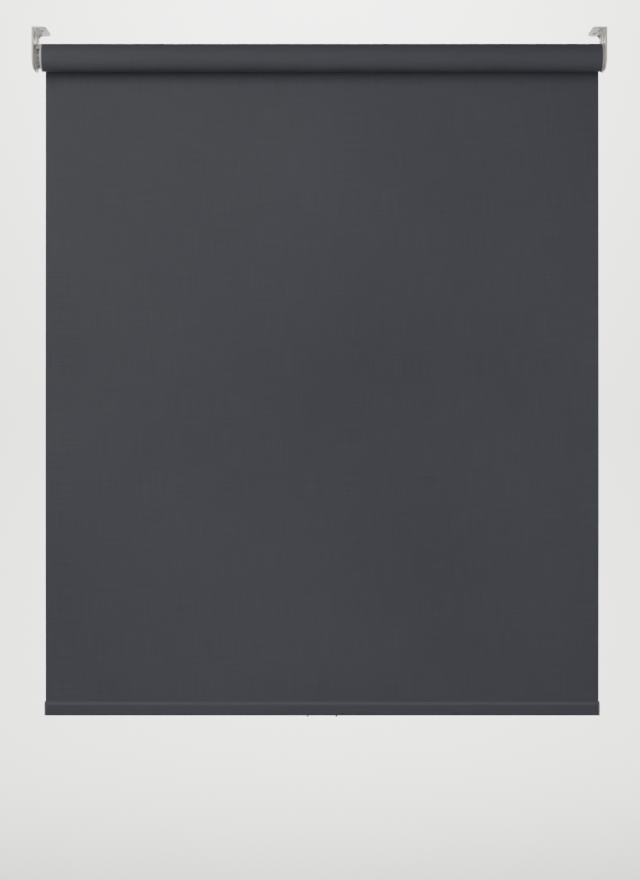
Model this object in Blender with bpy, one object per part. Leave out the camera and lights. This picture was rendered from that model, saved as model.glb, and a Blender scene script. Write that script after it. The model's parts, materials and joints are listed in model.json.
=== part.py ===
"""A chain-operated roller blind, drawn lowered: two brackets, the drive end, the idle end, the tube
with its fabric, and the weighted bar in the hem.

Metres, +Z up. X = 0 is midway between the outer faces of the brackets, Y = 0 is the roller's axis
with -Y towards the room, and Z = 0 is the ceiling, on the top faces of the brackets. The drive end
is at -X and the idle end at +X. The fabric drops from the back of the roll, towards the window.
"""

from math import cos, pi, radians, sin, tau

import bmesh
import bpy
from mathutils import Matrix, Vector

MM = 0.001

# ---- Overall sizes -----------------------------------------------------------------------------
BLIND_WIDTH = 838 * MM  # over the outer faces of the brackets
FABRIC_DROP = 950 * MM  # from the roller's axis to the top of the hem pocket
AXIS_DROP = 40 * MM  # from the ceiling to the roller's axis

# ---- Clearances --------------------------------------------------------------------------------
GAP = 0.3 * MM  # between pieces that touch
RUN = 0.4 * MM  # round a piece that turns beside a still one
OVERLAP = 0.5 * MM  # how deep a shape goes into another before a union

# ---- Brackets ----------------------------------------------------------------------------------
PLATE = 2.5 * MM  # wall of the side plate
FLANGE = 2.5 * MM  # wall of the ceiling flange
FLANGE_REACH = 20.5 * MM  # from the outer face inwards
BRACKET_BEYOND_GUARD = 8 * MM  # at the front and at the back
PLATE_CORNER = 19 * MM
FLANGE_CORNER = 9 * MM
SCREW_HOLE_R = 2.2 * MM
PILOT_HOLE_R = 1.3 * MM
FLANGE_HOLES = ((-8 * MM, 12.6 * MM, SCREW_HOLE_R), (7 * MM, 8.8 * MM, PILOT_HOLE_R),
                (19 * MM, 5.6 * MM, SCREW_HOLE_R))  # (Y, distance from the outer face, radius)
SLOT_LENGTH = 10 * MM
SLOT_WIDTH = 4.4 * MM
SLOT_ACROSS = 12 * MM  # each slot's place in front of and behind the axis
SLOT_BELOW = 12.5 * MM  # and below the ceiling
SLOT_TILT = radians(45)
GUSSET_LEG = 5 * MM
GUSSET_WALL = 2 * MM
GUSSET_INSET = 2 * MM  # from the bracket's front and back edges

# ---- Tube and fabric ---------------------------------------------------------------------------
TUBE_R = 19 * MM
TUBE_WALL = 1.1 * MM
CLOTH = 0.45 * MM
WRAPS = 3  # turns of fabric left on the tube when the blind is down
KEYWAY_DEPTH = 2.2 * MM
KEYWAY_HALF_TURN = radians(10)
KEYWAY_RAMP = radians(5)

# ---- Drive end ---------------------------------------------------------------------------------
GUARD_WALL = 1.7 * MM
HOOD_WALL = 1.0 * MM
HOOD_ROOM = 1.2 * MM  # from the beads out to the hood
HOOD_HALF_TURN = radians(58)
BEAD_PITCH = 6 * MM
BEAD_R = 2.25 * MM
POCKETS = 16
POCKET_WALL = 0.5 * MM  # on each side of a bead
POCKET_FLOOR = 0.35 * MM
RIM_ABOVE_BEADS = 1.2 * MM  # from the beads' centres out to the rim
SPROCKET_WEB = 2 * MM
LINK_GROOVE = 1.6 * MM
LINK_GROOVE_DEPTH = 1.5 * MM
CORE_R = 6 * MM
CORE_LIP = 4 * MM  # how far its flange stands out
CORE_FLANGE = 1.2 * MM
CORE_SQUARE = 10 * MM  # the tail that keeps the drive end from turning
END_LIP = 0.55 * MM  # how far the end flanges stand out over the roll
HUB_FLANGE = 1.6 * MM
HUB_END_WALL = 3 * MM
HUB_ROOM = 4.4 * MM  # between the springs and the end wall
HUB_TEETH = 6
HUB_TOOTH = 1.2 * MM
ADAPTER_WALL = 1 * MM  # where the keyway is
ADAPTER_SHORT = 4 * MM  # how far it ends before the hub
SLEEVE_LENGTH = 8.5 * MM  # of the sprocket's sleeve inside the hub
SLEEVE_WALL = 2 * MM
DOG_WALL = 1.4 * MM  # the tongues that push the springs' tangs
DOG_HALF_TURN = radians(32)
SPRING_WIRE_R = 0.6 * MM
SPRING_TURNS = 5
SCREW_R = 1.9 * MM
SCREW_LENGTH = 14 * MM
SCREW_HEAD_R = 4 * MM
SCREW_HEAD = 2.1 * MM
WASHER_LIP = 2.5 * MM  # how far it stands out over the core
WASHER_WALL = 1.2 * MM

# ---- Idle end ----------------------------------------------------------------------------------
PLUG_FLANGE = 1.2 * MM
PLUG_LENGTH = 24 * MM
PLUG_WALL = 2.5 * MM
PLUG_END_WALL = 4.4 * MM
BOSS_WALL = 2 * MM
BOSS_LENGTH = 18 * MM
PIN_R = 3 * MM
PIN_LIP = 1.6 * MM  # how far its collar stands out
PIN_COLLAR = 2 * MM
PIN_TAIL_R = 1.8 * MM
PIN_TAIL = 6.5 * MM
PIN_TIP_INSIDE = 0.4 * MM  # how far the tip stays inside the bracket's outer face
IDLE_WIRE_R = 0.35 * MM
IDLE_SPRING_TURNS = 7
CAP_WALL = 1.3 * MM
CAP_SPIGOT = 1.5 * MM

# ---- Hem and bottom bar ------------------------------------------------------------------------
HEM_HEIGHT = 21.8 * MM
HEM_DEPTH = 6.9 * MM
BAR_WALL = 1.2 * MM
BAR_CAP = 1.2 * MM
BAR_CAP_PLUG = 10 * MM
FOOT_SPACING = 42.6 * MM
FOOT_R = 1.5 * MM
FOOT_STEM_R = 0.9 * MM
FOOT_DROP = 1.4 * MM

# ---- How finely curved shapes are divided ------------------------------------------------------
TUBE_STEPS = 72
TURN_STEPS = 48
FINE_STEPS = 24
HOLE_STEPS = 16
OVAL_POINTS = 32
WIRE_STEPS = 14
WELD = 0.00001

# ---- Sizes that follow from the ones above -----------------------------------------------------
LEFT = -BLIND_WIDTH / 2
RIGHT = BLIND_WIDTH / 2
TUBE_BORE_R = TUBE_R - TUBE_WALL
SEAT_R = TUBE_BORE_R - RUN  # what slides into the tube
ROLL_R = TUBE_R + WRAPS * CLOTH
KEYWAY_R = TUBE_R - KEYWAY_DEPTH
SLOT_R = KEYWAY_R - TUBE_WALL - RUN  # floor of the slots that fit round the keyway
STRIP_WALL = KEYWAY_DEPTH - 3 * GAP
SPRING_R = CORE_R + GAP + SPRING_WIRE_R
SPRING_PITCH = 2 * SPRING_WIRE_R + GAP
SPRING_LENGTH = SPRING_TURNS * SPRING_PITCH + 2 * SPRING_WIRE_R
DOG_R = SPRING_R + SPRING_WIRE_R + GAP + DOG_WALL
HUB_BORE_R = DOG_R + RUN
HUB_R = SLOT_R - ADAPTER_WALL - GAP
END_FLANGE_R = ROLL_R + END_LIP
PITCH_R = POCKETS * BEAD_PITCH / tau
SPROCKET_R = PITCH_R + RIM_ABOVE_BEADS
SPROCKET_WIDTH = 2 * (BEAD_R + POCKET_WALL)
GUARD_R = PITCH_R + BEAD_R + HOOD_ROOM + HOOD_WALL + GAP
BRACKET_DEPTH = 2 * (GUARD_R + BRACKET_BEYOND_GUARD)
PIN_COLLAR_R = PIN_R + PIN_LIP
BOSS_BORE_R = PIN_COLLAR_R + RUN
BOSS_R = BOSS_BORE_R + BOSS_WALL
GUARD_LEFT = LEFT + PLATE + GAP
GUARD_RIGHT = GUARD_LEFT + GUARD_WALL
SPROCKET_LEFT = GUARD_RIGHT + GAP
SPROCKET_RIGHT = SPROCKET_LEFT + SPROCKET_WIDTH
HUB_LEFT = SPROCKET_RIGHT + GAP
TUBE_LEFT = HUB_LEFT + HUB_FLANGE + GAP
SPRINGS_LEFT = HUB_LEFT + SLEEVE_LENGTH + GAP
HUB_RIGHT = SPRINGS_LEFT + 2 * SPRING_LENGTH + GAP + HUB_ROOM + HUB_END_WALL
CORE_RIGHT = HUB_RIGHT + GAP
PIN_TIP = RIGHT - PIN_TIP_INSIDE
PLUG_RIGHT = RIGHT - PLATE - RUN
TUBE_RIGHT = PLUG_RIGHT - PLUG_FLANGE - GAP
CLOTH_LEFT = TUBE_LEFT + GAP
CLOTH_RIGHT = TUBE_RIGHT - GAP
CLOTH_MIDDLE = (CLOTH_LEFT + CLOTH_RIGHT) / 2
SHEET_FRONT = ROLL_R + GAP
SHEET_MIDDLE = SHEET_FRONT + CLOTH / 2
HEM_TOP = -AXIS_DROP - FABRIC_DROP
HEM_MIDDLE = HEM_TOP - HEM_HEIGHT / 2


# ---- Shapes ------------------------------------------------------------------------------------
def clear_scene():
    for thing in list(bpy.data.objects):
        bpy.data.objects.remove(thing, do_unlink=True)


def finish(name, colour, roughness, metallic=0.0):
    """A material with one colour, as linear red, green and blue."""
    material = bpy.data.materials.new(name)
    material.use_nodes = True
    shader = material.node_tree.nodes["Principled BSDF"]
    shader.inputs["Base Color"].default_value = (*colour, 1.0)
    shader.inputs["Roughness"].default_value = roughness
    shader.inputs["Metallic"].default_value = metallic
    material.diffuse_color = (*colour, 1.0)
    return material


def pivot(name, place):
    """An empty that holds the pieces of one moving body."""
    holder = bpy.data.objects.new(name, None)
    holder.empty_display_size = 20 * MM
    holder.location = place
    bpy.context.scene.collection.objects.link(holder)
    return holder


def place(piece, material, parent):
    piece.data.materials.append(material)
    piece.parent = parent
    bpy.context.scene.collection.objects.link(piece)
    return piece


def shade(mesh):
    mesh.shade_smooth()
    mesh.set_sharp_from_angle(angle=radians(35))


def piece_from(work, name, material, parent=None):
    """Turn a bmesh into a named object with outward faces."""
    bmesh.ops.remove_doubles(work, verts=work.verts, dist=WELD)
    bmesh.ops.recalc_face_normals(work, faces=work.faces)
    mesh = bpy.data.meshes.new(name)
    work.to_mesh(mesh)
    work.free()
    shade(mesh)
    return place(bpy.data.objects.new(name, mesh), material, parent)


def tool_from(work, name, parent=None):
    """A helper that only cuts or adds to another object."""
    tool = piece_from(work, name, TOOL, parent)
    tool.hide_render = True
    tool.display_type = "WIRE"
    return tool


def combine(piece, tool, operation):
    step = piece.modifiers.new(tool.name, "BOOLEAN")
    step.operation = operation
    step.solver = "EXACT"
    step.object = tool


def apply_cuts():
    """Make every union and cut final, so that the edges they leave can be shaded sharp."""
    graph = bpy.context.evaluated_depsgraph_get()
    worked = [thing for thing in bpy.data.objects if thing.modifiers]
    solids = [bpy.data.meshes.new_from_object(piece.evaluated_get(graph)) for piece in worked]
    for piece, solid in zip(worked, solids):
        piece.modifiers.clear()
        piece.data = solid
        shade(solid)
    for thing in list(bpy.data.objects):
        if thing.type == "MESH" and thing.hide_render:
            bpy.data.objects.remove(thing, do_unlink=True)


def gather(works):
    """Several bmeshes as one."""
    whole = bmesh.new()
    for work in works:
        bmesh.ops.recalc_face_normals(work, faces=work.faces)
        loose = bpy.data.meshes.new("loose")
        work.to_mesh(loose)
        work.free()
        whole.from_mesh(loose)
        bpy.data.meshes.remove(loose)
    return whole


def turned(outline, steps=TURN_STEPS):
    """A round body about the X axis. The outline's points are (x, radius).

    An outline that begins and ends at radius 0 stays open, because the axis closes it.
    """
    work = bmesh.new()
    points = [work.verts.new((x, 0.0, radius)) for x, radius in outline]
    sides = [work.edges.new(pair) for pair in zip(points, points[1:])]
    if outline[0][1] > 0:
        sides.append(work.edges.new((points[-1], points[0])))
    bmesh.ops.spin(work, geom=points + sides, axis=(1, 0, 0), cent=(0, 0, 0), angle=tau,
                   steps=steps, use_merge=True)
    bmesh.ops.remove_doubles(work, verts=work.verts, dist=WELD)
    return work


def sector(left, right, inner, outer, middle, half_turn, steps=16):
    """Part of a ring about the X axis. Angles run from +Z towards -Y."""
    work = bmesh.new()
    start = Matrix.Rotation(middle - half_turn, 4, "X")
    corners = ((left, inner), (right, inner), (right, outer), (left, outer))
    face = work.faces.new([work.verts.new(start @ Vector((x, 0, r))) for x, r in corners])
    bmesh.ops.spin(work, geom=[face, *face.edges, *face.verts], axis=(1, 0, 0), cent=(0, 0, 0),
                   angle=2 * half_turn, steps=steps, use_merge=False)
    return work


def prism(outline, push):
    """A flat outline of 3-D points, pushed into a solid."""
    work = bmesh.new()
    face = work.faces.new([work.verts.new(point) for point in outline])
    grown = bmesh.ops.extrude_face_region(work, geom=[face])["geom"]
    far = [item for item in grown if isinstance(item, bmesh.types.BMVert)]
    bmesh.ops.translate(work, verts=far, vec=push)
    return work


def sleeve(outer, inner, left, right):
    """A tube along X between two outlines of (y, z) points, with as many points in each."""
    work = bmesh.new()
    sides = []
    for outline in (outer, inner):
        ring = [work.verts.new((left, y, z)) for y, z in outline]
        sides += [work.edges.new((ring[i - 1], ring[i])) for i in range(len(ring))]
    bmesh.ops.bridge_loops(work, edges=sides)
    grown = bmesh.ops.extrude_face_region(work, geom=work.faces[:])["geom"]
    far = [item for item in grown if isinstance(item, bmesh.types.BMVert)]
    bmesh.ops.translate(work, verts=far, vec=(right - left, 0, 0))
    return work


def rod(start, end, radius, steps=HOLE_STEPS):
    """A round bar between two points."""
    start, end = Vector(start), Vector(end)
    turn = (end - start).to_track_quat("Z", "Y").to_matrix().to_4x4()
    work = bmesh.new()
    bmesh.ops.create_cone(work, cap_ends=True, segments=steps, radius1=radius, radius2=radius,
                          depth=(end - start).length,
                          matrix=Matrix.Translation((start + end) / 2) @ turn)
    return work


def block(low, high):
    """A box between two corners."""
    low, high = Vector(low), Vector(high)
    work = bmesh.new()
    bmesh.ops.create_cube(work, size=1.0)
    bmesh.ops.scale(work, verts=work.verts, vec=high - low)
    bmesh.ops.translate(work, verts=work.verts, vec=(low + high) / 2)
    return work


def polar(radius_at, steps=TUBE_STEPS):
    """(y, z) points round the axis, at a radius that may change with the angle from +Z."""
    angles = [tau * i / steps for i in range(steps)]
    return [(-radius_at(a) * sin(a), radius_at(a) * cos(a)) for a in angles]


def oval(height, depth, points=OVAL_POINTS, squareness=2.5):
    """(y, z) points of a rounded flat outline: a superellipse."""
    power = 2 / squareness
    outline = []
    for i in range(points):
        c = cos(tau * i / points)
        s = sin(tau * i / points)
        y = depth / 2 * abs(c) ** power * (1 if c >= 0 else -1)
        z = height / 2 * abs(s) ** power * (1 if s >= 0 else -1)
        outline.append((y, z))
    return outline


def off_top(angle):
    """The angle from +Z, the shorter way round."""
    return abs((angle + pi) % tau - pi)


def keyed(radius, floor):
    """A round outline with the keyway's flat-bottomed dip at the top."""
    def radius_at(angle):
        away = off_top(angle) - KEYWAY_HALF_TURN
        share = min(1.0, max(0.0, away / KEYWAY_RAMP))
        return floor + (radius - floor) * share
    return radius_at


def toothed(radius, tooth):
    """A round outline with evenly spaced teeth, none of them at the top."""
    def radius_at(angle):
        off_tooth = abs(angle * HUB_TEETH / tau % 1.0 - 0.5)
        return radius + tooth * min(1.0, max(0.0, (0.17 - off_tooth) / 0.09))
    return radius_at


def wire(name, points, radius, material, parent):
    """A wire along a list of points, as a filled curve."""
    path = bpy.data.curves.new(name, "CURVE")
    path.dimensions = "3D"
    path.bevel_depth = radius
    path.bevel_resolution = 0
    path.use_fill_caps = True
    line = path.splines.new("POLY")
    line.points.add(len(points) - 1)
    for spot, point in zip(line.points, points):
        spot.co = (*point, 1.0)
    return place(bpy.data.objects.new(name, path), material, parent)


# ---- Brackets ----------------------------------------------------------------------------------
def bracket_body():
    """The drive end's bracket: an L of side plate and ceiling flange."""
    bottom = -AXIS_DROP - GUARD_R
    front = -BRACKET_DEPTH / 2
    inner = LEFT + FLANGE_REACH
    corners = ((LEFT, 0), (LEFT, bottom), (LEFT + PLATE, bottom), (LEFT + PLATE, -FLANGE),
               (inner, -FLANGE), (inner, 0))
    work = prism([(x, front, z) for x, z in corners], (0, BRACKET_DEPTH, 0))

    def ends(edge):
        return edge.verts[0].co, edge.verts[1].co

    low = [e for e in work.edges if all(abs(p.z - bottom) < WELD for p in ends(e))
           and abs(ends(e)[0].y - ends(e)[1].y) < WELD]
    bmesh.ops.bevel(work, geom=low, offset=PLATE_CORNER, segments=8, profile=0.5,
                    affect="EDGES", material=-1)
    corner = [e for e in work.edges if all(abs(p.x - inner) < WELD for p in ends(e))
              and abs(ends(e)[0].y - ends(e)[1].y) < WELD]
    bmesh.ops.bevel(work, geom=corner, offset=FLANGE_CORNER, segments=6, profile=0.5,
                    affect="EDGES", material=-1)
    return work


def gusset(middle):
    """A web across the inside corner of the L."""
    x = LEFT + PLATE - OVERLAP
    z = -FLANGE + OVERLAP
    leg = GUSSET_LEG + OVERLAP
    y = middle - GUSSET_WALL / 2
    return prism([(x, y, z), (x, y, z - leg), (x + leg, y, z)], (0, GUSSET_WALL, 0))


def slot(y, z, tilt):
    """A slot through the side plate, with round ends."""
    reach = (SLOT_LENGTH - SLOT_WIDTH) / 2
    outline = []
    for side, middle in ((1, 0.0), (-1, pi)):
        for i in range(9):
            angle = middle - pi / 2 + pi * i / 8
            along = side * reach + SLOT_WIDTH / 2 * cos(angle)
            across = SLOT_WIDTH / 2 * sin(angle)
            outline.append((LEFT - OVERLAP, y + along * cos(tilt) - across * sin(tilt),
                            z + along * sin(tilt) + across * cos(tilt)))
    return prism(outline, (PLATE + 2 * OVERLAP, 0, 0))


def bracket(name, turn, socket):
    """One bracket. The idle end's is the drive end's turned half round, with a round socket."""
    piece = piece_from(bracket_body(), name, WHITE_PLASTIC)
    edge = BRACKET_DEPTH / 2 - GUSSET_INSET - GUSSET_WALL / 2
    webs = tool_from(gather([gusset(-edge), gusset(edge)]), name + "_webs")
    drills = [rod((LEFT + x, y, -FLANGE - OVERLAP), (LEFT + x, y, OVERLAP), radius)
              for y, x, radius in FLANGE_HOLES]
    drills += [slot(side * SLOT_ACROSS, -SLOT_BELOW, SLOT_TILT) for side in (-1, 1)]
    drills.append(socket)
    holes = tool_from(gather(drills), name + "_holes")
    for item in (piece, webs, holes):
        item.rotation_euler = (0, 0, turn)
    combine(piece, webs, "UNION")
    combine(piece, holes, "DIFFERENCE")


def brackets():
    left, right = LEFT - OVERLAP, LEFT + PLATE + OVERLAP
    half = CORE_SQUARE / 2 + GAP
    square = block((left, -half, -AXIS_DROP - half), (right, half, -AXIS_DROP + half))
    bracket("control_bracket", 0, square)
    round_hole = rod((left, 0, -AXIS_DROP), (right, 0, -AXIS_DROP), PIN_R + GAP, FINE_STEPS)
    bracket("idle_bracket", pi, round_hole)


# ---- Drive end ---------------------------------------------------------------------------------
def chain_guard():
    """A disc beside the sprocket with a hood over its top, which keeps the chain in its pockets."""
    disc = turned([(GUARD_LEFT, CORE_R), (GUARD_LEFT, GUARD_R), (GUARD_RIGHT, GUARD_R),
                   (GUARD_RIGHT, CORE_R)])
    piece = piece_from(disc, "chain_guard", WHITE_PLASTIC, FIXED_AXIS)
    hood_outer = GUARD_R - GAP
    hood = sector(GUARD_RIGHT - OVERLAP, HUB_LEFT - RUN, hood_outer - HOOD_WALL, hood_outer, 0,
                  HOOD_HALF_TURN)
    combine(piece, tool_from(hood, "guard_hood", FIXED_AXIS), "UNION")
    half = CORE_SQUARE / 2 + GAP
    square = block((GUARD_LEFT - OVERLAP, -half, -half), (GUARD_RIGHT + OVERLAP, half, half))
    combine(piece, tool_from(square, "guard_socket", FIXED_AXIS), "DIFFERENCE")


def clutch_core():
    """The still shaft that the drive end turns on, with a square tail in the bracket."""
    flange_right = SPROCKET_LEFT + CORE_FLANGE
    bore = SCREW_R + GAP
    bore_left = CORE_RIGHT - SCREW_LENGTH - 2 * MM
    lip = CORE_R + CORE_LIP
    outline = [(SPROCKET_LEFT, 0), (SPROCKET_LEFT, lip), (flange_right, lip),
               (flange_right, CORE_R), (CORE_RIGHT, CORE_R), (CORE_RIGHT, bore),
               (bore_left, bore), (bore_left, 0)]
    piece = piece_from(turned(outline), "clutch_core", GREY_PLASTIC, FIXED_AXIS)
    half = CORE_SQUARE / 2
    tail = block((LEFT + GAP, -half, -half), (SPROCKET_LEFT + OVERLAP, half, half))
    combine(piece, tool_from(tail, "core_tail", FIXED_AXIS), "UNION")


def chain_sprocket():
    """The chain wheel. Its sleeve reaches into the hub, and one tongue pushes the springs."""
    middle = (SPROCKET_LEFT + SPROCKET_RIGHT) / 2
    bore = CORE_R + GAP
    sleeve_r = bore + SLEEVE_WALL
    web_left = SPROCKET_LEFT + CORE_FLANGE + GAP
    web_right = web_left + SPROCKET_WEB
    rim = PITCH_R - BEAD_R - POCKET_FLOOR
    sleeve_right = HUB_LEFT + SLEEVE_LENGTH
    floor = SPROCKET_R - LINK_GROOVE_DEPTH
    outline = [(web_left, bore), (web_left, rim), (SPROCKET_LEFT, rim), (SPROCKET_LEFT, SPROCKET_R),
               (middle - LINK_GROOVE / 2, SPROCKET_R), (middle - LINK_GROOVE / 2, floor),
               (middle + LINK_GROOVE / 2, floor), (middle + LINK_GROOVE / 2, SPROCKET_R),
               (SPROCKET_RIGHT, SPROCKET_R), (SPROCKET_RIGHT, rim), (web_right, rim),
               (web_right, sleeve_r), (sleeve_right, sleeve_r), (sleeve_right, bore)]
    piece = piece_from(turned(outline, 60), "chain_sprocket", WHITE_PLASTIC, SPROCKET_AXIS)
    dog = sector(sleeve_right - SLEEVE_LENGTH / 3, HUB_RIGHT - HUB_END_WALL - 2 * GAP,
                 DOG_R - DOG_WALL, DOG_R, 0, DOG_HALF_TURN, 8)
    combine(piece, tool_from(dog, "sprocket_tongue", SPROCKET_AXIS), "UNION")
    pockets = []
    for i in range(POCKETS):
        angle = tau * (i + 0.5) / POCKETS
        work = bmesh.new()
        where = Matrix.Translation((middle, -PITCH_R * sin(angle), PITCH_R * cos(angle)))
        bmesh.ops.create_uvsphere(work, u_segments=7, v_segments=5, radius=BEAD_R, matrix=where)
        pockets.append(work)
    combine(piece, tool_from(gather(pockets), "bead_pockets", SPROCKET_AXIS), "DIFFERENCE")


def drive_hub():
    """The sleeve that the sprocket turns. Its flange closes the end of the roll."""
    flange_right = HUB_LEFT + HUB_FLANGE
    end_left = HUB_RIGHT - HUB_END_WALL
    flange = turned([(HUB_LEFT, HUB_BORE_R), (HUB_LEFT, END_FLANGE_R), (flange_right, END_FLANGE_R),
                     (flange_right, HUB_R - OVERLAP), (HUB_RIGHT, HUB_R - OVERLAP),
                     (HUB_RIGHT, CORE_R + GAP), (end_left, CORE_R + GAP), (end_left, HUB_BORE_R)])
    piece = piece_from(flange, "drive_hub", GREY_PLASTIC, ROLLER_AXIS)
    plain = HUB_R - 2 * OVERLAP
    teeth = sleeve(polar(toothed(HUB_R, HUB_TOOTH)), polar(lambda angle: plain),
                   flange_right - OVERLAP, HUB_RIGHT - GAP)
    combine(piece, tool_from(teeth, "hub_teeth", ROLLER_AXIS), "UNION")
    dog = sector(SPRINGS_LEFT, end_left + OVERLAP, DOG_R - DOG_WALL, HUB_BORE_R + OVERLAP, pi,
                 DOG_HALF_TURN, 8)
    combine(piece, tool_from(dog, "hub_tongue", ROLLER_AXIS), "UNION")


def tube_adapter():
    """The ring between the hub's teeth and the inside of the tube."""
    outer = polar(keyed(SEAT_R, SLOT_R))
    inner = polar(toothed(HUB_R + GAP, HUB_TOOTH))
    adapter = sleeve(outer, inner, TUBE_LEFT + GAP, HUB_RIGHT - ADAPTER_SHORT)
    piece_from(adapter, "tube_adapter", GREY_PLASTIC, ROLLER_AXIS)


def clutch_spring(name, left, hand):
    """A wrap spring round the core. Its ends swing out beside the tongues."""
    count = SPRING_TURNS * WIRE_STEPS
    tang_r = DOG_R - SPRING_WIRE_R
    tang = 2  # points in each swung-out end
    points = []
    for i in range(-tang, count + tang + 1):
        out = max(0, -i, i - count) / tang
        radius = SPRING_R + (tang_r - SPRING_R) * out
        angle = hand * (tau * i / WIRE_STEPS + radians(270))
        x = left + SPRING_WIRE_R + SPRING_PITCH * min(max(i, 0), count) / WIRE_STEPS
        points.append((x, -radius * sin(angle), radius * cos(angle)))
    wire(name, points, SPRING_WIRE_R, SPRING_STEEL, ROLLER_AXIS)


def clutch_springs():
    clutch_spring("clutch_spring_near", SPRINGS_LEFT, 1)
    clutch_spring("clutch_spring_far", SPRINGS_LEFT + SPRING_LENGTH + GAP, -1)


def core_fastening():
    """The washer and the screw that hold the hub on the core."""
    left = CORE_RIGHT + GAP
    right = left + WASHER_WALL
    bore = SCREW_R + GAP
    edge = CORE_R + WASHER_LIP
    washer = turned([(left, bore), (left, edge), (right, edge), (right, bore)], FINE_STEPS)
    piece_from(washer, "core_washer", STEEL, FIXED_AXIS)
    head = right + GAP
    outline = [(CORE_RIGHT - SCREW_LENGTH, 0), (CORE_RIGHT - SCREW_LENGTH, SCREW_R),
               (head, SCREW_R), (head, SCREW_HEAD_R), (head + SCREW_HEAD * 0.6, SCREW_HEAD_R),
               (head + SCREW_HEAD, SCREW_HEAD_R * 0.7), (head + SCREW_HEAD, 0)]
    piece_from(turned(outline, FINE_STEPS), "core_screw", STEEL, FIXED_AXIS)


# ---- Roller ------------------------------------------------------------------------------------
def roller_tube():
    """A drawn aluminium tube with one keyway, which drives the tube and takes the fabric's strip."""
    outer = polar(keyed(TUBE_R, KEYWAY_R))
    inner = polar(keyed(TUBE_BORE_R, KEYWAY_R - TUBE_WALL))
    tube = sleeve(outer, inner, TUBE_LEFT, TUBE_RIGHT)
    piece_from(tube, "roller_tube", ALUMINIUM, ROLLER_AXIS)


def fabric_strip():
    """The stiff strip that holds the fabric's top edge in the keyway."""
    half = (KEYWAY_R + GAP) * sin(KEYWAY_HALF_TURN) - GAP
    low = KEYWAY_R + GAP
    strip = block((CLOTH_LEFT, -half, low), (CLOTH_RIGHT, half, low + STRIP_WALL))
    piece_from(strip, "fabric_strip", GREY_PLASTIC, ROLLER_AXIS)


def fabric_roll():
    """The turns of fabric that stay wound on the tube."""
    roll = sleeve(polar(lambda angle: ROLL_R), polar(lambda angle: TUBE_R + GAP), CLOTH_LEFT,
                  CLOTH_RIGHT)
    piece_from(roll, "fabric_roll", CHARCOAL_CLOTH, ROLLER_AXIS)


# ---- Idle end ----------------------------------------------------------------------------------
def idle_plug():
    """The plug in the tube's far end. Its boss guides the sprung pin."""
    end_left = PLUG_RIGHT - PLUG_END_WALL
    plug_left = TUBE_RIGHT - PLUG_LENGTH
    boss_left = end_left - BOSS_LENGTH
    flange_left = PLUG_RIGHT - PLUG_FLANGE
    shell_bore = SLOT_R - PLUG_WALL
    bore = PIN_R + GAP
    outline = [(PLUG_RIGHT, bore), (PLUG_RIGHT, END_FLANGE_R), (flange_left, END_FLANGE_R),
               (flange_left, shell_bore + OVERLAP), (end_left, shell_bore + OVERLAP),
               (end_left, BOSS_R), (boss_left, BOSS_R), (boss_left, BOSS_BORE_R),
               (end_left + GAP, BOSS_BORE_R), (end_left + GAP, bore)]
    piece = piece_from(turned(outline), "idle_plug", GREY_PLASTIC, ROLLER_AXIS)
    shell = sleeve(polar(keyed(SEAT_R, SLOT_R)), polar(lambda angle: shell_bore), plug_left,
                   flange_left + OVERLAP)
    combine(piece, tool_from(shell, "plug_shell", ROLLER_AXIS), "UNION")


def idle_pin():
    """The sprung pin that sits in the bracket's round socket."""
    collar_right = PLUG_RIGHT - PLUG_END_WALL
    collar_left = collar_right - PIN_COLLAR
    nose = PIN_R * 0.4
    outline = [(collar_left - PIN_TAIL, 0), (collar_left - PIN_TAIL, PIN_TAIL_R),
               (collar_left, PIN_TAIL_R), (collar_left, PIN_COLLAR_R), (collar_right, PIN_COLLAR_R),
               (collar_right, PIN_R), (PIN_TIP - nose, PIN_R), (PIN_TIP, PIN_R - nose),
               (PIN_TIP, 0)]
    piece_from(turned(outline, FINE_STEPS), "idle_pin", STEEL, PIN_AXIS)


def idle_spring():
    """The compression spring behind the pin's collar."""
    right = PLUG_RIGHT - PLUG_END_WALL - PIN_COLLAR - GAP - IDLE_WIRE_R
    left = PLUG_RIGHT - PLUG_END_WALL - BOSS_LENGTH + CAP_SPIGOT + GAP + IDLE_WIRE_R
    radius = (PIN_TAIL_R + BOSS_BORE_R) / 2
    count = IDLE_SPRING_TURNS * WIRE_STEPS
    points = []
    for i in range(count + 1):
        angle = tau * i / WIRE_STEPS
        x = left + (right - left) * i / count
        points.append((x, -radius * sin(angle), radius * cos(angle)))
    wire("idle_spring", points, IDLE_WIRE_R, SPRING_STEEL, ROLLER_AXIS)


def idle_cap():
    """The cap that closes the boss and carries the spring."""
    face = PLUG_RIGHT - PLUG_END_WALL - BOSS_LENGTH - GAP
    spigot = BOSS_BORE_R - GAP
    outline = [(face - CAP_WALL, 0), (face - CAP_WALL, BOSS_R), (face, BOSS_R), (face, spigot),
               (face + GAP + CAP_SPIGOT, spigot), (face + GAP + CAP_SPIGOT, 0)]
    piece_from(turned(outline, FINE_STEPS), "idle_cap", GREY_PLASTIC, ROLLER_AXIS)


# ---- Hanging fabric and bottom bar -------------------------------------------------------------
def fabric_sheet():
    """The fabric between the roll and the hem, one thickness of cloth behind the roll."""
    sheet = block((CLOTH_LEFT, SHEET_FRONT, HEM_TOP + GAP),
                  (CLOTH_RIGHT, SHEET_FRONT + CLOTH, -AXIS_DROP))
    piece_from(sheet, "fabric_sheet", CHARCOAL_CLOTH)


def foot_holes(name):
    """Drills for the two feet, through the bottom of whatever is round the bar."""
    drills = []
    for side in (-1, 1):
        x = CLOTH_MIDDLE + side * FOOT_SPACING / 2
        drills.append(rod((x, 0, -HEM_HEIGHT / 2 - OVERLAP), (x, 0, -HEM_HEIGHT / 4),
                          FOOT_STEM_R + GAP, 12))
    return tool_from(gather(drills), name, BAR_LINE)


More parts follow.
